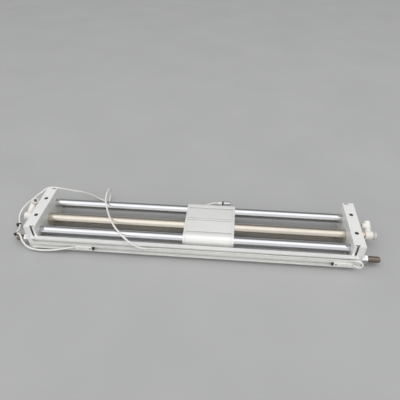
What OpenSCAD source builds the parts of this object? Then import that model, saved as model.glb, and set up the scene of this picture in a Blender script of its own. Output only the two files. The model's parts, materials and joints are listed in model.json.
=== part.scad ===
// Rodless pneumatic cylinder, slider type with magnetic coupling.
// X runs along the stroke, Y to the rear and Z up. The origin lies on the surface that the end
// plates stand on, at the centre of the four bolt holes in those plates.

/* [Overall] */
// Travel of the slider from one buffer to the other
stroke = 400; // [300:10:700]
// Room between the slider and an end plate at the end of its stroke, for the buffer
end_gap = 10.8; // [10.5:0.1:14]
// Distance of the slider's middle from the middle of its stroke, as it stands
slider_rest = 28.5; // [-60:0.5:60]

/* [End plates] */
// Thickness of each end plate along the stroke
plate_t = 18.2; // [17:0.1:24]
// Width of each end plate
plate_w = 104.2; // [100:0.1:120]
// Height of each end plate
plate_h = 46.6; // [44:0.1:60]
// Diameter of the bolt holes that run down through the plates
base_hole_d = 6.6; // [5:0.1:7]
// Distance between the two bolt holes of a plate
base_hole_pitch = 43.8; // [40:0.1:45]
// Diameter of the counterbore on the underside of each bolt hole
base_cbore_d = 11; // [9:0.1:12]
// Depth of that counterbore
base_cbore_depth = 6.5; // [3:0.1:10]
// Width of the mouth of the T-slots in the plates' ends
slot_mouth = 3.4; // [2.5:0.1:4]
// Width of the T-slot behind the mouth
slot_head = 7.2; // [6:0.1:8]
// Depth of the mouth's lips
slot_lip = 1.4; // [1:0.1:2]
// Whole depth of a T-slot
slot_depth = 3.7; // [3:0.1:3.8]
// Distance of the T-slots' centre line from the plate's inner face
slot_inset = 5.5; // [5:0.1:8]

/* [Guide rods and tube] */
// Diameter of the guide rods
rod_d = 16; // [12:0.1:17]
// Distance between the two guide rods
rod_pitch = 70.8; // [66:0.1:74]
// Height of the guide rods above the base
rod_z = 25.3; // [24:0.1:30]
// Outer diameter of the cylinder tube
tube_od = 21.6; // [20:0.1:22.5]
// Wall of the cylinder tube
tube_wall = 0.8; // [0.6:0.1:1.5]
// Height of the tube above the base
tube_z = 19.6; // [19:0.1:21]
// Depth of the seats in the plates for the rods and the tube
seat_depth = 8; // [6:0.1:9]
// Height of the air ports above the base
port_z = 23; // [20:0.1:26]
// Diameter of the threaded air ports
port_d = 9.6; // [8:0.1:10]
// Depth of the air ports
port_depth = 8; // [6:0.1:9]

/* [Slider] */
// Length of the slider over its two covers
slider_len = 82; // [76:0.5:100]
// Wall of the slide block round the bushings
bush_cover = 1.8; // [1.5:0.1:3]
// Wall of the guide bushings
bush_wall = 1.5; // [1:0.1:2]
// Clearance between the slider's load face and the base plane
slider_lift = 2.2; // [1.5:0.1:4]
// Rise of the slider's middle over its shoulders
crown = 1.4; // [0.5:0.1:2]
// Outer diameter of the outer magnets
magnet_od = 31; // [29:0.1:32]
// Thickness of the two slider covers
cover_t = 3.8; // [3:0.1:5]
// Diameter of the threaded holes in the load face
load_hole_d = 6; // [4:0.5:6]
// Distance between the load holes along the stroke
load_pitch_x = 50; // [40:1:60]
// Distance between the load holes across the stroke
load_pitch_y = 60; // [56:0.5:76]

/* [Sensor rail] */
// Length of the rail beyond its screws, at each end
rail_over = 4.2; // [3.5:0.1:6]
// Thickness of the sensor rail
rail_t = 6.7; // [6:0.1:9]
// Height of the rail's top face above the base
rail_top = 27.9; // [27:0.1:32]
// Height of the upper channel, for the leads
lead_channel = 7; // [5:0.1:8]
// Height of the lower channel, for the sensors
sensor_channel = 8; // [7:0.1:9]
// Depth of both channels
channel_depth = 4.6; // [4:0.1:5]
// Thickness of the rail's flanges
flange_t = 2.1; // [1.6:0.1:2.4]
// Length of a sensor
sensor_len = 30.5; // [24:0.5:36]
// Distance of the left sensor's middle from the left plate's inner face
left_sensor_at = 79; // [70:0.5:120]
// Distance of the right sensor's middle from the right plate's inner face
right_sensor_at = 13; // [10:0.5:40]
// Outer diameter of the sensor leads
lead_d = 3; // [2:0.1:4]

/* [Buffers] */
// Thread diameter of the shock absorbers
buffer_d = 10; // [8:0.1:10.5]
// How far the right body stands out of the plate's outer face
right_buffer_out = 30; // [24:0.5:40]
// How far the left body stands out of the plate's outer face
left_buffer_out = 24; // [20:0.5:40]
// Travel of a buffer rod
buffer_travel = 6; // [4:0.5:8]
// Distance of the buffers' axes from the plates' middle
buffer_y = 42.5; // [42:0.1:43]
// Height of the buffers' axes above the base
buffer_z = 11.5; // [10:0.1:12]

/* [Air fittings] */
// Distance of a fitting's barrel from the plate's outer face
barrel_out = 19; // [17:0.1:24]
// Outer diameter of the barrel
barrel_d = 11; // [10:0.1:12]
// Distance from the stem's axis to the tube port of the left fitting
left_reach = 27; // [19:0.5:28]
// Distance from the stem's axis to the tube port of the right fitting
right_reach = 16; // [16:0.5:28]
// Length of the left barrel past its tube port's axis
left_barrel_end = 4.9; // [4:0.1:8]
// Length of the right barrel past its tube port's axis
right_barrel_end = 8; // [4:0.1:9]
// Distance from the barrel's axis to the left tube port's face
left_port_reach = 9; // [7:0.1:11]
// Distance from the barrel's axis to the right tube port's face
right_port_reach = 7.7; // [7:0.1:11]
// Diameter of the bore for the air tube
tube_port_d = 6.2; // [4:0.1:6.3]
// Diameter of the flow control knob
knob_d = 12.6; // [10:0.1:14]
// Length of the flow control knob
knob_len = 5.8; // [5:0.1:10]
// Upward tilt of the left fitting's barrel
left_tilt = 17; // [0:1:40]
// Upward tilt of the right fitting's barrel
right_tilt = 24; // [0:1:40]
// Turn of the left port about its barrel, from straight up towards the plate
left_port_turn = 35; // [0:1:90]
// Turn of the right port about its barrel, from straight up towards the plate
right_port_turn = 90; // [0:1:90]

/* [Hidden] */
$fn = 48;
fit = 0.05;            // running clearance between a shaft and its bore, on the radius
gap = 0.3;             // gap between faces that pass or lie near each other
eps = 0.01;
inner = stroke / 2 + slider_len / 2 + end_gap;
side = inner + plate_t;
plate_mid = side - plate_t / 2;
rod_y = rod_pitch / 2;
rod_r = rod_d / 2;
tube_r = tube_od / 2;
tube_bore_r = tube_r - tube_wall;
tube_half = inner + seat_depth;
rod_half = inner + seat_depth;
flat_len = 7.3;        // spanner flats at each end of a guide rod, beside the plate
flat_af = rod_d - 2;

// Screws: head diameter, head height and hexagon socket for each thread
m6 = 6;
m6_head = 10;
m4 = 4;
m3 = 3;
m3_head = 5.5;

// Slider
bush_r = rod_r + fit + bush_wall;
end_r = bush_r + bush_cover;
shoulder_z = rod_z + end_r;
half_w = rod_y + end_r;
slider_x0 = slider_rest - slider_len / 2;
block_len = slider_len - 2 * cover_t;
edge = 2;              // chamfer of the slider's lower edges
groove_y = rod_y - 5.9;  // the long grooves beside the crown
groove_w = 2.6;
groove_depth = 1;
magnet_r = magnet_od / 2;
magnet_bore_r = tube_r + 0.5;
wear_r = tube_r + fit;
magnet_len = 12;
yoke_len = 2.4;
magnets = 4;
stack_len = magnets * magnet_len + (magnets + 1) * yoke_len;
wear_len = (block_len - stack_len) / 2;

// Piston, which runs in the tube under the slider
piston_r = tube_bore_r - fit;
piston_shaft_r = 2.5;
piston_head_len = 12;
seal_w = 2.4;
inner_magnet_r = tube_bore_r - 0.5;

// Rail
rail_y0 = -plate_w / 2;
rail_y1 = rail_y0 - rail_t;
rail_h = 3 * flange_t + lead_channel + sensor_channel;
rail_z0 = rail_top - rail_h;
sensor_z = rail_z0 + flange_t + sensor_channel / 2;
lead_z = rail_z0 + 2 * flange_t + sensor_channel;
sensor_h = sensor_channel - 0.4;
sensor_d = channel_depth + 0.9;
sensor_y = rail_y1 + channel_depth - 0.15;
tip_len = 2.4;
rail_screw_z = lead_z + lead_channel / 2;
rail_head_h = 1.8;
slot_x = inner + slot_inset;
rail_len = 2 * (slot_x + rail_over);
nut_w = slot_head - 0.6;
nut_t = slot_depth - slot_lip - 0.2;

// Buffers
nut_af = 14;
nut_h = 4.8;           // two on each body, locked against each other
cap_d = 7.6;
cap_len = 4;
buffer_rod_d = 3;
cap_face = stroke / 2 + slider_len / 2 + gap;
buffer_inner = cap_face + cap_len + buffer_travel;
buffer_bore = 16;      // depth of the rod's bore past its travel
buffer_end = 2.5;      // turned end with the screwdriver slot

// Fittings
hex_af = 10;
journal_r = 4;
barrel_x = side + barrel_out;
hub_r = 7;
hub_len = barrel_d + 0.6;
hub_end = 1.2;         // closed end of the left hub
hex_h = barrel_out - hub_len / 2 - gap;
neck_r = 3.4;
neck_from = journal_r + 2;
knob_x = barrel_x + hub_len / 2 + gap;
needle_r = 2;
needle_len = 14;
collar_r = 4.6;
collar_len = 2.2;
collar_travel = 0.8;
collar_rim = 0.8;

// Leads: the points that each follows after it has left its sensor
left_lead = [
    [-196.5, -58.8, 12], [-209, -60.8, 10], [-220.5, -61.3, 7.5], [-232, -61.5, 5.6],
    [-248.5, -62, 5], [-263.5, -60.5, 5.6], [-270.5, -58.8, 7.5], [-276.5, -56, 11],
    [-281, -52.3, 16], [-285, -46.5, 19.2], [-292, -39.8, 18.2], [-301.8, -32.8, 11.2],
    [-303, -22.5, 8.8], [-305.5, -12, 7.2], [-311, -1, 6.4], [-317, 10, 6], [-320, 20, 7],
    [-319, 28, 10], [-314, 35, 15], [-308, 38.5, 20], [-300, 42, 25.5], [-284, 50, 36.2],
    [-274, 53.8, 42.6], [-264.5, 54.2, 45.4], [-254.5, 54.3, 45.4], [-245, 55.6, 42.8],
    [-234, 59.8, 37.2], [-215.5, 67.5, 27.5], [-205.5, 75, 18],
    [-195.5, 79, 8.5], [-188, 79.5, 3.4], [-180.5, 77, 1.6], [-174, 71.5, 1.6],
    [-167.5, 65.5, 1.6], [-159, 61.5, 1.6], [-148, 60, 1.6], [-112, 60.2, 1.6],
    [-78, 59.4, 1.7], [-66, 59.4, 3.2], [-60, 59.4, 4.7], [-55, 59.4, 4.9]
];
right_lead = [
    [257, -57.6, 11.6], [260, -58.9, 10.5], [263.2, -60.3, 9.8], [267, -61.4, 11.7],
    [268.8, -61.9, 16], [267.2, -61.6, 20.2], [263, -60.4, 22.5], [257, -58.7, 22.3],
    [250.5, -57.7, 21], [243, -57, 20.4], [226, -56.3, 20.4], [146, -56.5, 20.4],
    [66, -56.1, 20.4], [-14, -56.3, 20.4], [-52, -56.5, 20.4], [-65, -57.5, 20.7],
    [-74.5, -59.3, 21.8], [-80.5, -60.7, 24.2], [-86, -61, 27.6], [-94.5, -60.4, 34.6],
    [-100, -58.2, 37.9], [-106.5, -54, 40.2], [-114.5, -46, 41.2], [-124.5, -34.5, 41.4],
    [-137.5, -14.5, 41.4], [-152.5, 16.5, 41.4], [-157.5, 31, 41.4], [-160, 41.5, 41.1],
    [-162.5, 57, 38.9], [-163.7, 69.5, 35.2], [-164.3, 79, 29.6], [-165.3, 84.7, 22],
    [-167, 86.4, 14], [-169, 85, 7], [-169.8, 80.5, 2.8], [-168.5, 75.2, 1.6],
    [-163, 71, 1.6], [-152, 69, 1.6], [-82, 68.4, 1.6], [-22, 68.4, 1.6], [4, 72.5, 1.6],
    [18, 79, 2.9], [27, 82.3, 4.5], [32, 83, 4.9], [37, 83, 4.9]
];
plug_r = 4.8;
plug_len = 23;
plug_cone = 8;
plug_body = 3.6;

// ---------- general shapes ----------

// Extrudes a Y-Z outline along X, from x0 over a length
module along_x(x0, length) {
    translate([x0, 0, 0]) rotate([90, 0, 90]) linear_extrude(length) children();
}

// A cylinder along X, from x0 over a length
module rod_x(x0, length, r, y = 0, z = 0) {
    translate([x0, y, z]) rotate([0, 90, 0]) cylinder(h = length, r = r);
}

// A ring along X
module ring_x(x0, length, r_out, r_in, y = 0, z = 0) {
    translate([x0, y, z]) rotate([0, 90, 0]) difference() {
        cylinder(h = length, r = r_out);
        translate([0, 0, -1]) cylinder(h = length + 2, r = r_in);
    }
}

// A hexagon along X, by its width over the flats
module hex_x(x0, length, across_flats, y = 0, z = 0) {
    translate([x0, y, z]) rotate([0, 90, 0])
        cylinder(h = length, d = across_flats / cos(30), $fn = 6);
}

// A socket head screw with its head at the origin's positive side, pointing to -Z
module socket_screw(d, head_d, length) {
    cylinder(h = d, d = head_d);
    translate([0, 0, -length]) cylinder(h = length + eps, d = d);
}

// The hexagon socket of that screw
module socket_cut(d) {
    translate([0, 0, d * 0.45]) cylinder(h = d, d = d * 0.86 / cos(30) , $fn = 6);
}

module cap_screw(d, head_d, length) {
    difference() {
        socket_screw(d, head_d, length);
        socket_cut(d);
    }
}

// Puts children at the left end and, mirrored, at the right end
module both_ends() {
    children();
    mirror([1, 0, 0]) children();
}

function unit(v) = v / norm(v);

// Direction of a route at each of its points
function headings(p) = [
    for (i = [0 : len(p) - 1])
        unit(p[min(i + 1, len(p) - 1)] - p[max(i - 1, 0)])
];

// Normals carried along a route without twist
function carried(t, i, n) =
    i == len(t) ? [] : let (m = unit(n - (n * t[i]) * t[i])) concat([m], carried(t, i + 1, m));

// A tube of constant radius along a route
module swept_tube(p, r, first, sides = 8) {
    t = concat([first], [for (i = [1 : len(p) - 1]) headings(p)[i]]);
    n = carried(t, 0, [0, 0, 1]);
    rings = [
        for (i = [0 : len(p) - 1]) let (b = cross(t[i], n[i]))
            for (k = [0 : sides - 1]) let (a = 360 * k / sides)
                p[i] + r * (cos(a) * n[i] + sin(a) * b)
    ];
    walls = [
        for (i = [0 : len(p) - 2], k = [0 : sides - 1])
            let (k2 = (k + 1) % sides, a = i * sides, b = a + sides)
                [a + k, b + k, b + k2, a + k2]
    ];
    start_cap = [[for (k = [0 : sides - 1]) k]];
    end_cap = [[for (k = [sides - 1 : -1 : 0]) (len(p) - 1) * sides + k]];
    polyhedron(points = rings, faces = concat(walls, start_cap, end_cap), convexity = 10);
}

// ---------- end plates ----------

module t_slot() {
    translate([-slot_mouth / 2, -slot_depth]) square([slot_mouth, slot_depth + 1]);
    translate([-slot_head / 2, -slot_depth]) square([slot_head, slot_depth - slot_lip]);
}

// Outline of a plate seen from above, with its T-slots; the plate's inner face is at x = inner
module plate_outline() {
    difference() {
        translate([inner, -plate_w / 2]) square([plate_t, plate_w]);
        for (s = [0, 1]) mirror([0, s]) translate([slot_x, plate_w / 2]) t_slot();
    }
}

// The right-hand plate; the left one is its mirror image
module end_plate() {
    cbore_h = m6 + 0.4;
    difference() {
        linear_extrude(plate_h) plate_outline();
        for (s = [-1, 1]) {
            translate([plate_mid, s * base_hole_pitch / 2, -1])
                cylinder(h = plate_h + 2, d = base_hole_d);
            translate([plate_mid, s * base_hole_pitch / 2, -1])
                cylinder(h = base_cbore_depth + 1, d = base_cbore_d);
            rod_x(inner - 1, seat_depth + 1, rod_r, s * rod_y, rod_z);
            rod_x(inner, plate_t + 1, m6 / 2 + 0.3, s * rod_y, rod_z);
            rod_x(side - cbore_h, cbore_h + 1, m6_head / 2 + 0.5, s * rod_y, rod_z);
        }
        rod_x(inner - 1, seat_depth + 1, tube_r, 0, tube_z);
        rod_x(side - port_depth, port_depth + 1, port_d / 2, 0, port_z);
        rod_x(inner, plate_t - 1, 2.5, 0, port_z);
        rod_x(inner - 1, plate_t + 2, buffer_d / 2, -buffer_y, buffer_z);
    }
}

module left_end_plate() { color("silver") mirror([1, 0, 0]) end_plate(); }
module right_end_plate() { color("silver") end_plate(); }

// ---------- rods and tube ----------

module guide_rod(y) {
    tapped = 14;
    difference() {
        union() {
            rod_x(-rod_half + 1, 2 * rod_half - 2, rod_r, y, rod_z);
            both_ends() translate([rod_half - 1, y, rod_z]) rotate([0, 90, 0])
                cylinder(h = 1, r1 = rod_r, r2 = rod_r - 1, $fn = 48);
        }
        both_ends() rod_x(rod_half - tapped, tapped + 1, m6 / 2, y, rod_z);
        both_ends() for (s = [-1, 1])
            translate([inner - flat_len, y - rod_r, rod_z + (s < 0 ? -rod_d : flat_af / 2)])
                cube([flat_len - gap, rod_d, rod_d - flat_af / 2]);
    }
}

module front_guide_rod() { color("gainsboro") guide_rod(-rod_y); }
module rear_guide_rod() { color("gainsboro") guide_rod(rod_y); }

module cylinder_tube() {
    color("antiquewhite")
        ring_x(-tube_half, 2 * tube_half, tube_r, tube_bore_r, 0, tube_z);
}

module rod_screws() {
    color("dimgray") both_ends() for (s = [-1, 1])
        translate([side - m6 - 0.4, s * rod_y, rod_z]) rotate([0, 90, 0])
            cap_screw(m6, m6_head, plate_t - m6 + 5);
}

// Rings in the bottom of each tube seat, between the tube's end and the plate
module tube_seals() {
    color("black") both_ends()
        ring_x(tube_half - 3, 2, tube_bore_r, tube_bore_r - 1.6, 0, tube_z);
}

// ---------- rail and sensors ----------

module rail_outline() {
    difference() {
        translate([rail_y1, rail_z0]) square([rail_t, rail_h]);
        translate([rail_y1 - 1, rail_z0 + flange_t])
            square([channel_depth + 1, sensor_channel]);
        translate([rail_y1 - 1, lead_z]) square([channel_depth + 1, lead_channel]);
    }
}

module sensor_rail() {
    color("lightgray") difference() {
        along_x(-rail_len / 2, rail_len) rail_outline();
        both_ends() translate([slot_x, rail_y0 + 1, rail_screw_z]) rotate([90, 0, 0])
            cylinder(h = rail_t + 2, d = m3 + 0.2);
    }
}

// Low head screws, so that a lead can pass in front of them
module rail_screws() {
    color("silver") both_ends()
        translate([slot_x, rail_y1 + channel_depth, rail_screw_z]) rotate([90, 0, 0])
            difference() {
                union() {
                    cylinder(h = rail_head_h, d = m3_head);
                    translate([0, 0, -(rail_t - channel_depth + slot_depth - 0.4)])
                        cylinder(h = rail_t - channel_depth + slot_depth, d = m3);
                }
                translate([0, 0, 0.8]) cylinder(h = 3, d = 2 / cos(30), $fn = 6);
            }
}

// Square nuts that slide in the plates' T-slots
module rail_nuts() {
    color("gray") both_ends() difference() {
        translate([slot_x - nut_w / 2, rail_y0 + slot_lip, rail_screw_z - nut_w / 2])
            cube([nut_w, nut_t, nut_w]);
        translate([slot_x, rail_y0 + slot_depth + 1, rail_screw_z]) rotate([90, 0, 0])
            cylinder(h = slot_depth + 2, d = m3);
    }
}

// Puts children at a sensor's middle, turned so that its lead leaves at its +X end
module at_sensor(x, way) {
    translate([x, sensor_y, sensor_z]) mirror([way < 0 ? 1 : 0, 0, 0]) children();
}

module sensor_blank(x0, length) {
    difference() {
        translate([x0, -sensor_d, -sensor_h / 2]) cube([length, sensor_d, sensor_h]);
        for (s = [-1, 1]) translate([0, -sensor_d, s * sensor_h / 2]) rotate([45, 0, 0])
            cube([2 * sensor_len, 1.4, 1.4], center = true);
    }
}

screw_in = tip_len + 3.4;

module sensor() {
    difference() {
        sensor_blank(tip_len - sensor_len / 2, sensor_len - tip_len);
        translate([screw_in - sensor_len / 2, 1, 0]) rotate([90, 0, 0])
            cylinder(h = sensor_d + 2, d = m3);
        translate([4, -sensor_d - 0.4, 0]) cube([9, 1.2, 3.6], center = true);
    }
}

left_sensor_x = -inner + left_sensor_at;
right_sensor_x = inner - right_sensor_at;

module left_sensor() { color("ivory") at_sensor(left_sensor_x, -1) sensor(); }
module right_sensor() { color("ivory") at_sensor(right_sensor_x, 1) sensor(); }

module sensor_tips() {
    color("black") for (s = [[left_sensor_x, -1], [right_sensor_x, 1]])
        at_sensor(s[0], s[1]) sensor_blank(-sensor_len / 2, tip_len);
}

module sensor_screws() {
    head = 1;
    color("silver") for (s = [[left_sensor_x, -1], [right_sensor_x, 1]])
        at_sensor(s[0], s[1]) translate([screw_in - sensor_len / 2, 0, 0]) difference() {
            rotate([90, 0, 0]) cylinder(h = sensor_d - 0.6, d = m3);
            translate([-m3, -sensor_d - head, -0.3]) cube([2 * m3, head + 1.4, 0.6]);
        }
}

lead_y = sensor_y - sensor_d / 2;
left_lead_from = [left_sensor_x - sensor_len / 2, lead_y, sensor_z];
right_lead_from = [right_sensor_x + sensor_len / 2, lead_y, sensor_z];

module left_sensor_lead() {
    color("whitesmoke") swept_tube(concat([left_lead_from], left_lead), lead_d / 2, [-1, 0, 0]);
}

module right_sensor_lead() {
    color("whitesmoke") swept_tube(concat([right_lead_from], right_lead), lead_d / 2, [1, 0, 0]);
}

// Ties round the left lead, at two of its points
module cable_ties() {
    tie_w = 2.6;
    tie_r = lead_d / 2 + 0.9;
    color("black") for (i = [10, 13]) {
        d = unit(left_lead[i + 1] - left_lead[i]);
        translate((left_lead[i] + left_lead[i + 1]) / 2)
            rotate([0, acos(d[2]), atan2(d[1], d[0])]) difference() {
                union() {
                    translate([0, 0, -tie_w / 2]) cylinder(h = tie_w, r = tie_r);
                    translate([-2.4, tie_r - 0.7, -2]) cube([4.8, 3.6, 4]);
                }
                translate([0, 0, -5]) cylinder(h = 10, r = lead_d / 2 + fit);
            }
    }
}

// Plug at a lead's end, along X from the lead's last point
module plug(end) {
    translate(end) rotate([0, 90, 0]) difference() {
        union() {
            cylinder(h = plug_cone, r1 = lead_d / 2 + 0.6, r2 = plug_r - 1.2);
            translate([0, 0, plug_cone - eps]) cylinder(h = plug_body, r = plug_r - 0.4);
            translate([0, 0, plug_cone + plug_body - 2 * eps])
                cylinder(h = plug_len - plug_cone - plug_body - 4, r = plug_r - 1.4);
        }
        for (a = [0 : 120 : 240]) rotate([0, 0, a]) translate([1.6, 0, plug_len - 9])
            cylinder(h = 9, d = 1);
    }
}

// Knurled sleeve round a plug's front
module plug_sleeve(end) {
    ribs = 18;
    sleeve_from = plug_cone + plug_body + 0.2;
    translate(end) rotate([0, 90, 0]) translate([0, 0, sleeve_from]) difference() {
        union() {
            cylinder(h = plug_len - sleeve_from, r = plug_r - 0.4);
            for (i = [0 : ribs - 1]) rotate([0, 0, i * 360 / ribs])
                translate([0, -0.4, 1]) cube([plug_r, 0.8, 7]);
        }
        translate([0, 0, -1]) cylinder(h = plug_len, r = plug_r - 1.4);
    }
}

module left_plug() { color("whitesmoke") plug(left_lead[len(left_lead) - 1]); }
module right_plug() { color("whitesmoke") plug(right_lead[len(right_lead) - 1]); }
module left_plug_sleeve() { color("silver") plug_sleeve(left_lead[len(left_lead) - 1]); }
module right_plug_sleeve() { color("silver") plug_sleeve(right_lead[len(right_lead) - 1]); }

// ---------- slider ----------

// Outline of the slider across the stroke, drawn in by an inset
module slider_outline(inset = 0) {
    for (s = [-1, 1]) translate([s * rod_y, rod_z]) circle(r = end_r - inset);
    bottom = slider_lift + inset;
    polygon([
        [-half_w + inset, rod_z], [-half_w + inset, bottom + edge], [-half_w + edge, bottom],
        [half_w - edge, bottom], [half_w - inset, bottom + edge], [half_w - inset, rod_z]
    ]);
    polygon([
        [-rod_y, rod_z - 1], [rod_y, rod_z - 1], [rod_y, shoulder_z - inset],
        [groove_y, shoulder_z - inset], [4, shoulder_z + crown - inset],
        [-4, shoulder_z + crown - inset], [-groove_y, shoulder_z - inset],
        [-rod_y, shoulder_z - inset]
    ]);
}

module slider_grooves() {
    for (s = [-1, 1]) {
        translate([s * groove_y - groove_w / 2, shoulder_z - groove_depth])
            square([groove_w, 4]);
        translate([s * 2.5 - 0.4, shoulder_z + crown - 0.5]) square([0.8, 2]);
    }
}

module load_holes() {
    for (i = [-1, 1], j = [-1, 1])
        translate([slider_rest + i * load_pitch_x / 2, j * load_pitch_y / 2, slider_lift - 1])
            cylinder(h = 11, d = load_hole_d);
}

module slide_block() {
    x0 = slider_rest - block_len / 2;
    color("gainsboro") difference() {
        along_x(x0, block_len) difference() {
            slider_outline();
            slider_grooves();
        }
        for (s = [-1, 1]) rod_x(x0 - 1, block_len + 2, bush_r, s * rod_y, rod_z);
        rod_x(x0 - 1, block_len + 2, magnet_r, 0, tube_z);
        load_holes();
        for (x = [x0 - 1, x0 + block_len - cover_screw_len]) for (p = cover_screw_places)
            rod_x(x, cover_screw_len + 1, m4 / 2, p[0], p[1]);
    }
}

cover_screw_y = 20.5;
cover_screw_z = 9;
cover_screw_drop = 6.5;  // below the shoulders
cover_screw_len = 8;
cover_head_d = 7;
cover_head_h = 2.2;
cover_recess = cover_head_h + 0.2;
cover_screw_places = [
    for (s = [-1, 1]) each [
        [s * cover_screw_y, cover_screw_z],
        [s * cover_screw_y, shoulder_z - cover_screw_drop]
    ]
];

module slider_cover(x0, way) {
    color("silver") difference() {
        along_x(x0, cover_t) slider_outline(0.2);
        for (s = [-1, 1]) rod_x(x0 - 1, cover_t + 2, rod_r + 1.6, s * rod_y, rod_z);
        rod_x(x0 - 1, cover_t + 2, tube_r + 1.6, 0, tube_z);
        for (p = cover_screw_places) {
            rod_x(x0 - 1, cover_t + 2, m4 / 2 + 0.2, p[0], p[1]);
            rod_x(way < 0 ? x0 - 1 : x0 + cover_t - cover_recess, cover_recess + 1,
                cover_head_d / 2 + 0.5, p[0], p[1]);
        }
    }
}

module left_cover() { slider_cover(slider_x0, -1); }
module right_cover() { slider_cover(slider_x0 + slider_len - cover_t, 1); }

// Low head screws, sunk in the covers
module cover_screws() {
    color("dimgray") for (s = [-1, 1]) for (p = cover_screw_places)
        translate([slider_rest + s * (slider_len / 2 - cover_recess), p[0], p[1]])
            rotate([0, s * 90, 0]) difference() {
                union() {
                    cylinder(h = cover_head_h, d = cover_head_d);
                    translate([0, 0, -cover_screw_len])
                        cylinder(h = cover_screw_len + eps, d = m4);
                }
                translate([0, 0, cover_head_h / 2])
                    cylinder(h = cover_head_h, d = 2.5 / cos(30), $fn = 6);
            }
}

module guide_bushings() {
    len_b = 24;
    color("peru") for (s = [-1, 1], e = [-1, 1])
        ring_x(slider_rest + (e < 0 ? -block_len / 2 : block_len / 2 - len_b), len_b,
            bush_r, rod_r + fit, s * rod_y, rod_z);
}

module rod_scrapers() {
    color("black") for (e = [-1, 1]) {
        x0 = slider_rest + e * (slider_len - cover_t) / 2 - 1.2;
        for (s = [-1, 1]) ring_x(x0, 2.4, rod_r + 1.6, rod_r + fit, s * rod_y, rod_z);
        ring_x(x0, 2.4, tube_r + 1.6, wear_r, 0, tube_z);
    }
}

stack_x0 = slider_rest - stack_len / 2;

module outer_magnets() {
    color("darkslategray") for (i = [0 : magnets - 1])
        ring_x(stack_x0 + yoke_len + i * (magnet_len + yoke_len), magnet_len, magnet_r,
            magnet_bore_r, 0, tube_z);
}

module outer_yokes() {
    color("gray") for (i = [0 : magnets])
        ring_x(stack_x0 + i * (magnet_len + yoke_len), yoke_len, magnet_r, magnet_bore_r,
            0, tube_z);
}

module slider_wear_rings() {
    color("saddlebrown") for (x = [slider_rest - block_len / 2, stack_x0 + stack_len])
        ring_x(x, wear_len, magnet_r, wear_r, 0, tube_z);
}

// ---------- piston ----------

module inner_magnets() {
    color("darkslategray") for (i = [0 : magnets - 1])
        ring_x(stack_x0 + yoke_len + i * (magnet_len + yoke_len), magnet_len, inner_magnet_r,
            piston_shaft_r, 0, tube_z);
}

module inner_yokes() {
    color("gray") for (i = [0 : magnets])
        ring_x(stack_x0 + i * (magnet_len + yoke_len), yoke_len, inner_magnet_r,
            piston_shaft_r, 0, tube_z);
}

module piston_shaft() {
    over = piston_head_len - 3;
    color("silver") rod_x(stack_x0 - over, stack_len + 2 * over, piston_shaft_r, 0, tube_z);
}

module piston_heads() {
    groove_in = 1.6;
    color("white") for (e = [-1, 1]) translate([slider_rest, 0, tube_z]) rotate([0, e * 90, 0])
        difference() {
            translate([0, 0, stack_len / 2]) cylinder(h = piston_head_len, r = piston_r);
            translate([0, 0, stack_len / 2 - 1])
                cylinder(h = piston_head_len - 2, r = piston_shaft_r);
            translate([0, 0, stack_len / 2 + 5]) difference() {
                cylinder(h = seal_w, r = piston_r + 1);
                translate([0, 0, -1]) cylinder(h = seal_w + 2, r = piston_r - groove_in);
            }
        }
}

module piston_seals() {
    color("black") for (e = [-1, 1])
        ring_x(slider_rest + e * (stack_len / 2 + 5 + seal_w / 2) - seal_w / 2, seal_w,
            tube_bore_r - fit / 2, piston_r - 1.6, 0, tube_z);
}

// ---------- shock absorbers ----------

module buffer_body(out) {
    body_end = side + out - buffer_end;
    color("saddlebrown") difference() {
        union() {
            rod_x(buffer_inner, body_end - buffer_inner, buffer_d / 2, -buffer_y, buffer_z);
            rod_x(body_end - eps, buffer_end, buffer_d / 2 - 1, -buffer_y, buffer_z);
        }
        rod_x(buffer_inner - 1, buffer_travel + buffer_bore, buffer_rod_d / 2 + fit,
            -buffer_y, buffer_z);
        translate([side + out - buffer_end / 2, -buffer_y - buffer_end / 4, buffer_z - buffer_d])
            cube([buffer_end, buffer_end / 2, 2 * buffer_d]);
    }
}

module buffer_rod() {
    color("silver") union() {
        rod_x(cap_face + 1, buffer_travel + cap_len + 6, buffer_rod_d / 2, -buffer_y, buffer_z);
        rod_x(cap_face, cap_len, cap_d / 2, -buffer_y, buffer_z);
    }
}

module left_buffer_body() { mirror([1, 0, 0]) buffer_body(left_buffer_out); }
module right_buffer_body() { buffer_body(right_buffer_out); }
module left_buffer_rod() { mirror([1, 0, 0]) buffer_rod(); }
module right_buffer_rod() { buffer_rod(); }

module buffer_nuts() {
    color("silver") both_ends() for (n = [0, 1]) difference() {
        hex_x(side + n * (nut_h + gap), nut_h, nut_af, -buffer_y, buffer_z);
        rod_x(side - 1, 2 * nut_h + 2, buffer_d / 2, -buffer_y, buffer_z);
    }
}

// ---------- air fittings ----------

// Threaded stem; its journal carries the fitting's body
module fitting_stem(journal_len) {
    difference() {
        union() {
            rod_x(side - port_depth + 0.6, port_depth, port_d / 2, 0, port_z);
            hex_x(side, hex_h, hex_af, 0, port_z);
            rod_x(side + hex_h - eps, journal_len + gap, journal_r, 0, port_z);
        }
        rod_x(side - port_depth - 1, 60, needle_r + fit, 0, port_z);
    }
}

module left_fitting_stem() {
    color("goldenrod") mirror([1, 0, 0]) fitting_stem(hub_len - hub_end - gap);
}
module right_fitting_stem() { color("goldenrod") fitting_stem(hub_len); }

// Puts children on the barrel's axis, which leaves the stem's axis at a tilt
module on_barrel(tilt) {
    translate([barrel_x, 0, port_z]) rotate([tilt - 90, 0, 0]) children();
}

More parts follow.
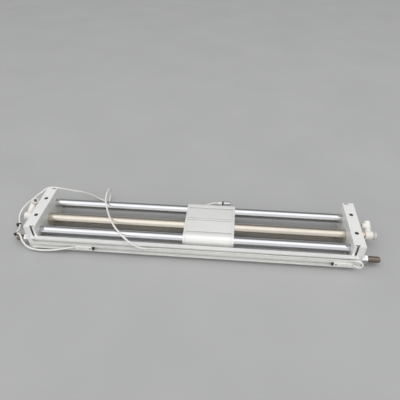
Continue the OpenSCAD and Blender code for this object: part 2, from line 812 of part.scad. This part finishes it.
// Body that swivels on the stem; closed says how much of its outer end is solid
module fitting_body(tilt, reach, closed) {
    color("ivory") difference() {
        union() {
            rod_x(barrel_x - hub_len / 2, hub_len, hub_r, 0, port_z);
            on_barrel(tilt) cylinder(h = reach - barrel_d / 2 - gap, d = barrel_d);
        }
        rod_x(barrel_x - hub_len, hub_len * 1.5 - closed, journal_r + fit, 0, port_z);
        on_barrel(tilt) translate([0, 0, neck_from - gap]) cylinder(h = reach, r = neck_r + fit);
    }
}

module left_fitting_body() {
    mirror([1, 0, 0]) fitting_body(left_tilt, left_reach, hub_end);
}
module right_fitting_body() { fitting_body(right_tilt, right_reach, -1); }

// Puts children on the tube port's axis, turned about the barrel
module on_port(tilt, reach, turn) {
    on_barrel(tilt) rotate([0, 0, -turn]) translate([0, 0, reach]) rotate([90, 0, 0]) children();
}

// Tube port that swivels in the barrel's end
module fitting_port(tilt, reach, turn, barrel_end, out) {
    color("ivory") difference() {
        union() {
            on_barrel(tilt) translate([0, 0, neck_from])
                cylinder(h = reach - neck_from, r = neck_r);
            on_barrel(tilt) translate([0, 0, reach - barrel_d / 2])
                cylinder(h = barrel_d / 2 + barrel_end, d = barrel_d);
            on_port(tilt, reach, turn) cylinder(h = out, d = barrel_d - 0.2);
        }
        on_port(tilt, reach, turn) cylinder(h = out + 1, d = tube_port_d);
        on_port(tilt, reach, turn) translate([0, 0, out - collar_len])
            cylinder(h = collar_len + 1, r = collar_r + fit);
    }
}

module release_collar(tilt, reach, turn, out) {
    color("white") on_port(tilt, reach, turn)
        translate([0, 0, out - collar_len + collar_travel + fit]) difference() {
            union() {
                cylinder(h = collar_len, r = collar_r);
                translate([0, 0, collar_len - eps]) cylinder(h = collar_rim, r = collar_r + 0.4);
            }
            translate([0, 0, -1]) cylinder(h = collar_len + collar_rim + 2, d = tube_port_d);
        }
}

module left_fitting_port() {
    mirror([1, 0, 0])
        fitting_port(left_tilt, left_reach, left_port_turn, left_barrel_end, left_port_reach);
}
module right_fitting_port() {
    fitting_port(right_tilt, right_reach, right_port_turn, right_barrel_end, right_port_reach);
}
module left_release_collar() {
    mirror([1, 0, 0]) release_collar(left_tilt, left_reach, left_port_turn, left_port_reach);
}
module right_release_collar() {
    release_collar(right_tilt, right_reach, right_port_turn, right_port_reach);
}

// Ribbed knob on the needle
module flow_knob() {
    ribs = 14;
    rib_h = 0.9;
    rib_w = 1.4;
    color("ivory") difference() {
        union() {
            rod_x(knob_x, knob_len, knob_d / 2 - rib_h, 0, port_z);
            for (i = [0 : ribs - 1]) translate([0, 0, port_z]) rotate([360 * i / ribs, 0, 0])
                translate([knob_x + rib_h, -rib_w / 2, 0])
                    cube([knob_len - 2 * rib_h, rib_w, knob_d / 2]);
            rod_x(knob_x - needle_len, needle_len + eps, needle_r, 0, port_z);
        }
        translate([knob_x + knob_len - 1, -3, port_z - 0.5]) cube([2, 6, 1]);
    }
}

left_end_plate();
right_end_plate();
front_guide_rod();
rear_guide_rod();
cylinder_tube();
rod_screws();
tube_seals();
sensor_rail();
rail_screws();
rail_nuts();
left_sensor();
right_sensor();
sensor_tips();
sensor_screws();
left_sensor_lead();
right_sensor_lead();
cable_ties();
left_plug();
right_plug();
left_plug_sleeve();
right_plug_sleeve();
slide_block();
left_cover();
right_cover();
cover_screws();
guide_bushings();
outer_magnets();
outer_yokes();
slider_wear_rings();
rod_scrapers();
piston_heads();
piston_shaft();
inner_magnets();
inner_yokes();
piston_seals();
left_buffer_body();
right_buffer_body();
buffer_nuts();
left_buffer_rod();
right_buffer_rod();
left_fitting_stem();
right_fitting_stem();
left_fitting_body();
right_fitting_body();
left_fitting_port();
right_fitting_port();
left_release_collar();
right_release_collar();
flow_knob();
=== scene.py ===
import json
import math

import bmesh
import bpy
from mathutils import Matrix, Vector


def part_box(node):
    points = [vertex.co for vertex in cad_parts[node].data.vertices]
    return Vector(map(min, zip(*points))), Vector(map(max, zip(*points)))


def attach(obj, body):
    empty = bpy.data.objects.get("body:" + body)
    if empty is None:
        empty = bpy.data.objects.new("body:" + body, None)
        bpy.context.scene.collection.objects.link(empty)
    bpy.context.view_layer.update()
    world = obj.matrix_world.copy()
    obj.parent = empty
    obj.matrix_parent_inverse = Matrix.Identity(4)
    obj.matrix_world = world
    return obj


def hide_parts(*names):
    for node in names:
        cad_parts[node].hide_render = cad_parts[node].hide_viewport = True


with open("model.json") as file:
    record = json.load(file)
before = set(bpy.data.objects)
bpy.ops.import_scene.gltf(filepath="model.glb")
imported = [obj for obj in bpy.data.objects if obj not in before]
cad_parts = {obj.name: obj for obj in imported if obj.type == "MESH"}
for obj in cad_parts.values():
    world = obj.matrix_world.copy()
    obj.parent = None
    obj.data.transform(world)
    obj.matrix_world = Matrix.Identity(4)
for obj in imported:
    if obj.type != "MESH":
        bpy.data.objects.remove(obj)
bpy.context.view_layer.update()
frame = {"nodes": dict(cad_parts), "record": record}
nodes = frame["nodes"]
scene = bpy.context.scene
MM = 0.001

# ---------------------------------------------------------------- camera
CAMERA_PLACE = (0.061701, -0.493946, 0.484508)
CAMERA_TURNS = (5.735, 39.241, -0.593)  # degrees to the left, down and round the line of sight
FOCAL_LENGTH = 35.895  # on a sensor 36 mm wide

cam_data = bpy.data.cameras.new("camera")
cam_data.sensor_width = 36.0
cam_data.lens = FOCAL_LENGTH
cam = bpy.data.objects.new("camera", cam_data)
scene.collection.objects.link(cam)
yaw, pitch, roll = (math.radians(a) for a in CAMERA_TURNS)
forward = Vector((-math.sin(yaw) * math.cos(pitch), math.cos(yaw) * math.cos(pitch), -math.sin(pitch)))
right = Vector((math.cos(yaw), math.sin(yaw), 0))
up = right.cross(forward)
right, up = (math.cos(roll) * right + math.sin(roll) * up,
             -math.sin(roll) * right + math.cos(roll) * up)
turn = Matrix((right, up, -forward)).transposed().to_4x4()
cam.matrix_world = Matrix.Translation(CAMERA_PLACE) @ turn
cam_data.clip_start, cam_data.clip_end = 0.01, 50
scene.camera = cam


# ---------------------------------------------------------------- materials
# Sockets of a Mix node in its colour mode, which share their names with those of other modes
MIX_SHARE, MIX_A, MIX_B, MIX_COLOR = 0, 6, 7, 2
BEVEL_SAMPLES = 4
HOLLOW_SAMPLES = 6


class Shader:
    """A node material with one principled shader, built up by small helpers."""

    def __init__(self, name):
        self.mat = bpy.data.materials.new(name)
        self.mat.use_nodes = True
        self.tree = self.mat.node_tree
        self.bsdf = self.tree.nodes["Principled BSDF"]
        self.coords = self.tree.nodes.new("ShaderNodeTexCoord").outputs["Object"]

    def node(self, kind, **settings):
        made = self.tree.nodes.new("ShaderNode" + kind)
        for key, value in settings.items():
            setattr(made, key, value)
        return made

    def link(self, source, target):
        self.tree.links.new(source, target)

    def put(self, socket, value):
        """Sets a socket to a number or colour, or joins another node's output to it."""
        if isinstance(value, bpy.types.NodeSocket):
            self.link(value, socket)
        elif isinstance(value, (tuple, list)) and len(value) == 3 and socket.type == "RGBA":
            socket.default_value = (*value, 1)
        else:
            socket.default_value = value

    def noise(self, scale, stretch=(1, 1, 1), detail=3, rough=0.55):
        """Noise whose features get longer along an axis as its stretch gets smaller."""
        mapping = self.node("Mapping")
        mapping.inputs["Scale"].default_value = stretch
        self.link(self.coords, mapping.inputs["Vector"])
        made = self.node("TexNoise")
        made.inputs["Scale"].default_value = scale
        made.inputs["Detail"].default_value = detail
        made.inputs["Roughness"].default_value = rough
        self.link(mapping.outputs[0], made.inputs["Vector"])
        return made.outputs["Fac"]

    def spread(self, value, low, high, start=0.35, end=0.65):
        """Carries value from start..end to low..high."""
        made = self.node("MapRange")
        for key, v in (("Value", value), ("From Min", start), ("From Max", end),
                       ("To Min", low), ("To Max", high)):
            self.put(made.inputs[key], v)
        return made.outputs[0]

    def math(self, operation, a, b=0.0):
        made = self.node("Math", operation=operation)
        self.put(made.inputs[0], a)
        self.put(made.inputs[1], b)
        return made.outputs[0]

    def mix(self, share, a, b):
        made = self.node("Mix", data_type="RGBA")
        self.put(made.inputs[MIX_SHARE], share)
        self.put(made.inputs[MIX_A], a)
        self.put(made.inputs[MIX_B], b)
        return made.outputs[MIX_COLOR]

    def bevel(self, radius):
        """The normal as it would be with every edge rounded."""
        made = self.node("Bevel", samples=BEVEL_SAMPLES)
        made.inputs["Radius"].default_value = radius
        return made.outputs[0]

    def edges(self, radius):
        """1 along the edges, 0 on the faces."""
        rounded = self.bevel(radius)
        geometry = self.node("NewGeometry")
        dot = self.node("VectorMath", operation="DOT_PRODUCT")
        self.link(rounded, dot.inputs[0])
        self.link(geometry.outputs["Normal"], dot.inputs[1])
        return self.spread(dot.outputs["Value"], 1, 0, 0.90, 0.995)

    def hollows(self, reach):
        """An ambient-occlusion mask for painted shade: 1 deep in the holes, slots and grooves of the
        same piece, 0 in the open.
        """
        made = self.node("AmbientOcclusion", samples=HOLLOW_SAMPLES, only_local=True)
        made.inputs["Distance"].default_value = reach
        return self.spread(made.outputs["AO"], 1, 0, 0.3, 0.95)

    def along_x(self):
        split = self.node("SeparateXYZ")
        self.link(self.coords, split.inputs[0])
        return split.outputs["X"]

    def bump(self, heights, rounding=0.0):
        """heights is a list of (height output, depth in metres)."""
        last = self.bevel(rounding) if rounding else None
        for height, depth in heights:
            made = self.node("Bump")
            made.inputs["Strength"].default_value = 1
            made.inputs["Distance"].default_value = depth
            self.link(height, made.inputs["Height"])
            if last is not None:
                self.link(last, made.inputs["Normal"])
            last = made.outputs[0]
        self.link(last, self.bsdf.inputs["Normal"])

    def finish(self, color, roughness, **sockets):
        """Joins up the shader; sockets are the shader's own, with _ for each space."""
        self.put(self.bsdf.inputs["Base Color"], color)
        self.put(self.bsdf.inputs["Roughness"], roughness)
        for key, value in sockets.items():
            self.put(self.bsdf.inputs[key.replace("_", " ")], value)
        return self.mat


ALONG_X = (0.0012, 1, 1)  # stretch of a noise into lines as long as the part


def scaled(color, k):
    return tuple(min(1.0, c * k) for c in color)


def satin_metal(name, color, rough, metallic, reach, line_scale, lines=(1, 1, 1), depth=2e-6,
                edge=0.0004, hollow_shade=0.85, wear_and_highlight=0.5):
    """Blasted or extruded aluminium with a clear anodised skin, bright on its broken edges (on the
    slider's wide rounded shoulders a painted highlight), and with painted shade in its holes and
    grooves."""
    s = Shader(name)
    cloud = s.noise(18, detail=4)
    grain = s.noise(line_scale, lines, detail=2)
    smudge = s.noise(70, (0.35, 1, 1), detail=5, rough=0.7)
    tone = s.mix(s.spread(cloud, 0, 1), scaled(color, 0.955), color)
    tone = s.mix(s.spread(grain, 0, 0.3), tone, scaled(color, 0.87))
    # Brighter along the edges: wear on narrow edges, and on the slider's wide edge band a painted
    # highlight on its rounded shoulders.
    tone = s.mix(s.math("MULTIPLY", s.edges(edge), wear_and_highlight), tone, scaled(color, 1.07))
    # Painted shade: the colour goes dark in the piece's own holes, slots and grooves.
    tone = s.mix(s.math("MULTIPLY", s.hollows(reach), hollow_shade), tone, scaled(color, 0.10))
    s.bump([(grain, depth), (smudge, depth)], rounding=edge)
    return s.finish(tone, s.spread(smudge, rough - 0.05, rough + 0.08), Metallic=metallic)


def chrome(name):
    """Ground and hard-chromed rod: faint grinding rings and a few straight rubs from the bearings."""
    s = Shader(name)
    rings = s.noise(1500, (1, 0.02, 0.02), detail=2)
    rubs = s.noise(700, ALONG_X, detail=3)
    film = s.noise(14, detail=4)
    tone = s.mix(s.spread(film, 0, 1), (0.64, 0.645, 0.66), (0.60, 0.605, 0.62))
    s.bump([(rings, 1.0e-6), (rubs, 0.6e-6)])
    return s.finish(tone, s.spread(film, 0.10, 0.18), Metallic=1.0)


def tube_steel(name):
    """Drawn thin-wall stainless tube, slightly warm, with straight draw lines and a dull oil film."""
    s = Shader(name)
    draw = s.noise(1100, ALONG_X, detail=3)
    film = s.noise(16, (0.6, 1, 1), detail=5, rough=0.65)
    tone = s.mix(s.spread(film, 0, 1), (0.62, 0.574, 0.50), (0.57, 0.524, 0.45))
    tone = s.mix(s.spread(draw, 0, 0.30), tone, (0.52, 0.475, 0.405))
    s.bump([(draw, 0.4e-6)])
    return s.finish(tone, s.spread(film, 0.18, 0.26), Metallic=0.95)


def steel(name, color, rough=0.28, metallic=1.0, edge=0.00025, depth=3e-6):
    """Turned or ground metal with a few stains and edges rubbed bright."""
    s = Shader(name)
    grain = s.noise(1300, detail=2)
    stain = s.noise(160, detail=5, rough=0.65)
    tone = s.mix(s.spread(stain, 0, 0.25, 0.4, 0.75), color, scaled(color, 0.45))
    tone = s.mix(s.math("MULTIPLY", s.edges(edge), 0.6), tone, scaled(color, 1.2))
    s.bump([(grain, depth), (stain, depth)], rounding=edge)
    return s.finish(tone, s.spread(stain, rough - 0.05, rough + 0.12), Metallic=metallic)


def threaded_steel(name, color, pitch, rough=0.30):
    """Browned steel with the rings of a fine thread round X, rubbed bright on their crests, with
    painted shade in their roots.
    """
    s = Shader(name)
    wave = s.math("SINE", s.math("MULTIPLY", s.along_x(), 2 * math.pi / pitch))
    crest = s.spread(wave, 0, 1, -1, 1)
    stain = s.noise(140, detail=5, rough=0.65)
    tone = s.mix(s.spread(stain, 0, 1), color, scaled(color, 0.70))
    tone = s.mix(s.spread(crest, 0, 0.4, 0.7, 1), tone, scaled(color, 1.35))
    # Painted shade: darker in the roots of the thread.
    tone = s.mix(s.spread(crest, 0.6, 0, 0, 0.35), tone, scaled(color, 0.45))
    s.bump([(crest, 3e-5), (stain, 5e-6)])
    return s.finish(tone, s.spread(stain, rough - 0.06, rough + 0.1), Metallic=0.9)


def moulded(name, color, rough=0.38, speckle=0.06, depth=5e-6, edge=0.0003, shade=0.80, **sockets):
    """Injection-moulded plastic with a fine tool texture and painted shade in its hollows."""
    s = Shader(name)
    skin = s.noise(1100, detail=3)
    flow = s.noise(55, (1, 0.6, 1), detail=4)
    tone = s.mix(s.spread(flow, 0, 1), color, scaled(color, 1 - speckle))
    tone = s.mix(s.spread(skin, 0, 0.4, 0.58, 0.8), tone, scaled(color, shade))
    tone = s.mix(s.math("MULTIPLY", s.edges(edge), 0.4), tone, scaled(color, 1.08))
    # Painted shade: the colour goes dark deep in the piece's hollows, ribs and mouths.
    tone = s.mix(s.math("MULTIPLY", s.hollows(0.004), 0.9), tone, scaled(color, 0.10))
    s.bump([(skin, depth)], rounding=edge)
    return s.finish(tone, s.spread(flow, rough - 0.05, rough + 0.08), **sockets)


def jacket(name, color):
    """Soft cable jacket: slightly dull, with scuffs and handling marks along it."""
    s = Shader(name)
    scuff = s.noise(85, detail=5, rough=0.7)
    skin = s.noise(1600, detail=2)
    tone = s.mix(s.spread(scuff, 0, 1, 0.45, 0.75), color, scaled(color, 0.84))
    s.bump([(skin, 6e-6), (scuff, 2e-5)])
    return s.finish(tone, s.spread(scuff, 0.42, 0.55), Subsurface_Weight=0.05,
                    Subsurface_Radius=(0.002, 0.002, 0.0015))


THREAD_PITCH = 1 * MM  # of the absorbers' bodies

mats = {
    "plate_aluminium": satin_metal("plate_aluminium", (0.95, 0.95, 0.925), rough=0.44, metallic=0.18,
                                   line_scale=1200, reach=0.009),
    "rod_chrome": chrome("rod_chrome"),
    "tube_steel": tube_steel("tube_steel"),
    "rail_aluminium": satin_metal("rail_aluminium", (0.93, 0.93, 0.905), rough=0.34, metallic=0.25,
                                  lines=ALONG_X, line_scale=2600, depth=1e-6, edge=0.0003,
                                  reach=0.003, hollow_shade=0.45),
    # The slider's wide edge band, brightened in full, is a painted highlight on its rounded shoulders.
    "slider_aluminium": satin_metal("slider_aluminium", (0.90, 0.905, 0.875), rough=0.34,
                                    metallic=0.22, lines=ALONG_X, line_scale=2600, depth=1e-6,
                                    edge=0.0016, reach=0.0025, hollow_shade=0.8, wear_and_highlight=1.0),
    "screw_steel": steel("screw_steel", (0.20, 0.20, 0.21), rough=0.36, metallic=0.9),
    "bright_steel": steel("bright_steel", (0.62, 0.62, 0.62), rough=0.20, edge=0.0002),
    "seal_rubber": moulded("seal_rubber", (0.035, 0.035, 0.037), rough=0.62, shade=1.8),
    "black_plastic": moulded("black_plastic", (0.028, 0.028, 0.03), rough=0.42, shade=1.9),
    "sensor_plastic": moulded("sensor_plastic", (0.93, 0.925, 0.875), rough=0.38),
    "lead_jacket": jacket("lead_jacket", (0.91, 0.90, 0.85)),
    "bushing_bronze": steel("bushing_bronze", (0.55, 0.36, 0.18), rough=0.42, metallic=0.9),
    "magnet": steel("magnet", (0.22, 0.21, 0.20), rough=0.55, metallic=0.6, depth=8e-6),
    "wear_ring": moulded("wear_ring", (0.50, 0.42, 0.30), rough=0.5),
    "buffer_steel": threaded_steel("buffer_steel", (0.27, 0.225, 0.18), pitch=THREAD_PITCH),
    "stem_brass": steel("stem_brass", (0.62, 0.47, 0.37), rough=0.30, metallic=0.95, edge=0.0002),
    "fitting_plastic": moulded("fitting_plastic", (0.90, 0.88, 0.81), rough=0.34, speckle=0.08,
                               edge=0.0004, Subsurface_Weight=0.06,
                               Subsurface_Radius=(0.003, 0.003, 0.002)),
    "collar_plastic": moulded("collar_plastic", (0.86, 0.85, 0.80), rough=0.34),
}


for part in frame["record"]["subparts"]:
    finish = nodes[part["node"]].data.materials
    finish.clear()
    finish.append(mats[part["material_slot"]])


# ---------------------------------------------------------------- leads
LEAD_D = 3 * MM
STEPS = 8  # points of the smoothed path for each stretch of a route


def smooth_path(points):
    """A centripetal curve through the route's points."""
    p = [2 * points[0] - points[1], *points, 2 * points[-1] - points[-2]]
    out = []
    for i in range(1, len(p) - 2):
        a, b, c, d = p[i - 1: i + 3]
        t0, t1 = 0.0, (b - a).length ** 0.5
        t2 = t1 + (c - b).length ** 0.5
        t3 = t2 + (d - c).length ** 0.5
        for k in range(STEPS):
            t = t1 + (t2 - t1) * k / STEPS
            a1 = (t1 - t) / (t1 - t0) * a + (t - t0) / (t1 - t0) * b
            a2 = (t2 - t) / (t2 - t1) * b + (t - t1) / (t2 - t1) * c
            a3 = (t3 - t) / (t3 - t2) * c + (t - t2) / (t3 - t2) * d
            b1 = (t2 - t) / (t2 - t0) * a1 + (t - t0) / (t2 - t0) * a2
            b2 = (t3 - t) / (t3 - t1) * a2 + (t - t1) / (t3 - t1) * a3
            out.append((t2 - t) / (t2 - t1) * b1 + (t - t1) / (t2 - t1) * b2)
    return out + [points[-1]]


# The points of the leads in part.scad, in millimetres, from the first one past the sensor
LEFT_ROUTE = [
    (-196.5, -58.8, 12), (-209, -60.8, 10), (-220.5, -61.3, 7.5), (-232, -61.5, 5.6),
    (-248.5, -62, 5), (-263.5, -60.5, 5.6), (-270.5, -58.8, 7.5), (-276.5, -56, 11),
    (-281, -52.3, 16), (-285, -46.5, 19.2), (-292, -39.8, 18.2), (-301.8, -32.8, 11.2),
    (-303, -22.5, 8.8), (-305.5, -12, 7.2), (-311, -1, 6.4), (-317, 10, 6), (-320, 20, 7),
    (-319, 28, 10), (-314, 35, 15), (-308, 38.5, 20), (-300, 42, 25.5), (-284, 50, 36.2),
    (-274, 53.8, 42.6), (-264.5, 54.2, 45.4), (-254.5, 54.3, 45.4), (-245, 55.6, 42.8),
    (-234, 59.8, 37.2), (-215.5, 67.5, 27.5), (-205.5, 75, 18),
    (-195.5, 79, 8.5), (-188, 79.5, 3.4), (-180.5, 77, 1.6), (-174, 71.5, 1.6),
    (-167.5, 65.5, 1.6), (-159, 61.5, 1.6), (-148, 60, 1.6), (-112, 60.2, 1.6),
    (-78, 59.4, 1.7), (-66, 59.4, 3.2), (-60, 59.4, 4.7), (-55, 59.4, 4.9),
]
RIGHT_ROUTE = [
    (257, -57.6, 11.6), (260, -58.9, 10.5), (263.2, -60.3, 9.8), (267, -61.4, 11.7),
    (268.8, -61.9, 16), (267.2, -61.6, 20.2), (263, -60.4, 22.5), (257, -58.7, 22.3),
    (250.5, -57.7, 21), (243, -57, 20.4), (226, -56.3, 20.4), (146, -56.5, 20.4),
    (66, -56.1, 20.4), (-14, -56.3, 20.4), (-52, -56.5, 20.4), (-65, -57.5, 20.7),
    (-74.5, -59.3, 21.8), (-80.5, -60.7, 24.2), (-86, -61, 27.6), (-94.5, -60.4, 34.6),
    (-100, -58.2, 37.9), (-106.5, -54, 40.2), (-114.5, -46, 41.2), (-124.5, -34.5, 41.4),
    (-137.5, -14.5, 41.4), (-152.5, 16.5, 41.4), (-157.5, 31, 41.4), (-160, 41.5, 41.1),
    (-162.5, 57, 38.9), (-163.7, 69.5, 35.2), (-164.3, 79, 29.6), (-165.3, 84.7, 22),
    (-167, 86.4, 14), (-169, 85, 7), (-169.8, 80.5, 2.8), (-168.5, 75.2, 1.6),
    (-163, 71, 1.6), (-152, 69, 1.6), (-82, 68.4, 1.6), (-22, 68.4, 1.6), (4, 72.5, 1.6),
    (18, 79, 2.9), (27, 82.3, 4.5), (32, 83, 4.9), (37, 83, 4.9),
]


def add_piece(name, data, slot):
    """A new piece that rides on the frame and has a slot's material."""
    piece = bpy.data.objects.new(name, data)
    scene.collection.objects.link(piece)
    data.materials.append(mats[slot])
    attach(piece, "frame")
    return piece


def lead(side, route):
    """A lead from its sensor along a route, kept inside the box of the route's points."""
    name = side + "_lead"
    low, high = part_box(side + "_sensor")
    middle = (low + high) / 2
    start = Vector((low.x if side == "left" else high.x, middle.y, middle.z))
    points = smooth_path([start] + [Vector(p) * MM for p in route])
    low, high = ([pick(p[i] for p in route) * MM for i in range(3)] for pick in (min, max))
    for p in points[STEPS:]:
        for i in range(3):
            p[i] = min(max(p[i], low[i]), high[i])
    curve = bpy.data.curves.new(name, "CURVE")
    curve.dimensions = "3D"
    spline = curve.splines.new("POLY")
    spline.points.add(len(points) - 1)
    for target, p in zip(spline.points, points):
        target.co = (*p, 1)
    curve.bevel_depth = LEAD_D / 2
    curve.bevel_resolution = 4
    curve.use_fill_caps = True
    piece = add_piece(name, curve, "lead_jacket")
    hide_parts(side + "_sensor_lead")


def mesh_piece(name, bm, slot):
    bmesh.ops.recalc_face_normals(bm, faces=bm.faces)
    mesh = bpy.data.meshes.new(name)
    bm.to_mesh(mesh)
    bm.free()
    return add_piece(name, mesh, slot)


def ring_verts(bm, axis, angle, profile):
    """The vertices of an (x, radius) profile at one angle round an axis along X, at (y, z)."""
    y, z = axis
    return [bm.verts.new((x, y + r * math.cos(angle), z + r * math.sin(angle))) for x, r in profile]


def join(bm, row, following):
    """The faces between two rows of vertices, each of them once round the same closed profile."""
    for i in range(len(row)):
        j = (i + 1) % len(row)
        bm.faces.new((row[i], row[j], following[j], following[i]))


def axis_of(low, high):
    """Where a box's middle line along X lies, as (y, z)."""
    return (low.y + high.y) / 2, (low.z + high.z) / 2


def plug_band(side):
    """The dark grip ring between a plug's cone and its sleeve."""
    band_from, band_to = 8 * MM, 11.5 * MM  # from the plug's thin end
    proud, sunk, rounding = 0.06 * MM, 1.2 * MM, 0.3 * MM
    segments = 40
    low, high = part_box(side + "_plug")
    x0, x1 = low.x + band_from, low.x + band_to
    radius = (high.y - low.y) / 2 + proud
    profile = [(x0, radius - sunk), (x0, radius - rounding), (x0 + rounding, radius),
               (x1 - rounding, radius), (x1, radius - rounding), (x1, radius - sunk)]
    bm = bmesh.new()
    rows = [ring_verts(bm, axis_of(low, high), 2 * math.pi * k / segments, profile)
            for k in range(segments)]
    for row, following in zip(rows, rows[1:] + rows[:1]):
        join(bm, row, following)
    return mesh_piece(side + "_plug_band", bm, "black_plastic")


def absorber_thread(side):
    """The fine thread on an absorber's body, from the lock nuts to its turned end."""
    crest, root = 0.16 * MM, 0.05 * MM  # above and below the body's surface
    end_len = 2.7 * MM
    steps = 24  # for each turn
    low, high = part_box(side + "_buffer_body")
    nuts_low, nuts_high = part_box("buffer_nuts")
    way = 1 if side == "right" else -1
    inner = nuts_high.x if side == "right" else nuts_low.x
    outer = (high.x if side == "right" else low.x) - way * end_len
    inner += way * THREAD_PITCH / 2
    radius = (high.y - low.y) / 2
    turns = (abs(outer - inner) - THREAD_PITCH / 2) / THREAD_PITCH
    bm = bmesh.new()
    rows = []
    for k in range(int(turns * steps) + 1):
        x = inner + way * THREAD_PITCH * k / steps
        profile = [(x - THREAD_PITCH / 2, radius - root), (x, radius + crest),
                   (x + THREAD_PITCH / 2, radius - root)]
        rows.append(ring_verts(bm, axis_of(low, high), 2 * math.pi * k / steps, profile))
    for row, following in zip(rows, rows[1:]):
        join(bm, row, following)
    bm.faces.new(rows[0])
    bm.faces.new(rows[-1])
    mesh_piece(side + "_absorber_thread", bm, "buffer_steel")


absorber_thread("left")
absorber_thread("right")
left_band, right_band = plug_band("left"), plug_band("right")
lead("left", LEFT_ROUTE)
lead("right", RIGHT_ROUTE)


# ---------------------------------------------------------------- floor and light
FLOOR_SIZE = 12
FLOOR_TONES = ((0.45, 0.45, 0.45), (0.47, 0.47, 0.467))
ROOM_COLOR = (0.985, 0.99, 1.0, 1)
ROOM_BRIGHT_WAY = (-0.16, -0.53, 0.83)  # up, to the front and a little to the left
ROOM_DIM, ROOM_BRIGHT = (0.28, 0.27), (0.62, 1.0)  # share of that way, and strength there

bpy.ops.mesh.primitive_plane_add(size=FLOOR_SIZE)
floor = bpy.context.object
floor.name = "floor"
ground = Shader("floor")
soft = ground.noise(6, detail=2)
ground.bump([(ground.noise(500, detail=2), 2e-5)])
floor.data.materials.append(
    ground.finish(ground.mix(ground.spread(soft, 0, 1), *FLOOR_TONES), 0.9))

light = bpy.data.lights.new("ceiling", "AREA")
light.shape = "RECTANGLE"
light.size, light.size_y = 3.0, 1.5
light.energy = 9.5
ceiling = bpy.data.objects.new("ceiling", light)
scene.collection.objects.link(ceiling)
ceiling.location = (0.1, -0.3, 1.7)
aim = Vector((0.05, 0, 0)) - ceiling.location
ceiling.rotation_euler = aim.to_track_quat("-Z", "Y").to_euler()

# The room: a bright ceiling and front, and a dim wall behind the object
world = bpy.data.worlds.new("world")
scene.world = world
world.use_nodes = True
room = world.node_tree
facing = room.nodes.new("ShaderNodeVectorMath")
facing.operation = "DOT_PRODUCT"
room.links.new(room.nodes.new("ShaderNodeTexCoord").outputs["Generated"], facing.inputs[0])
facing.inputs[1].default_value = Vector(ROOM_BRIGHT_WAY).normalized()
glow = room.nodes.new("ShaderNodeMapRange")
glow.interpolation_type = "SMOOTHSTEP"
for end, (share, strength) in (("Min", ROOM_DIM), ("Max", ROOM_BRIGHT)):
    glow.inputs["From " + end].default_value = share
    glow.inputs["To " + end].default_value = strength
room.links.new(facing.outputs["Value"], glow.inputs["Value"])
room.links.new(glow.outputs[0], room.nodes["Background"].inputs[1])
room.nodes["Background"].inputs[0].default_value = ROOM_COLOR

scene.view_settings.view_transform = "Standard"
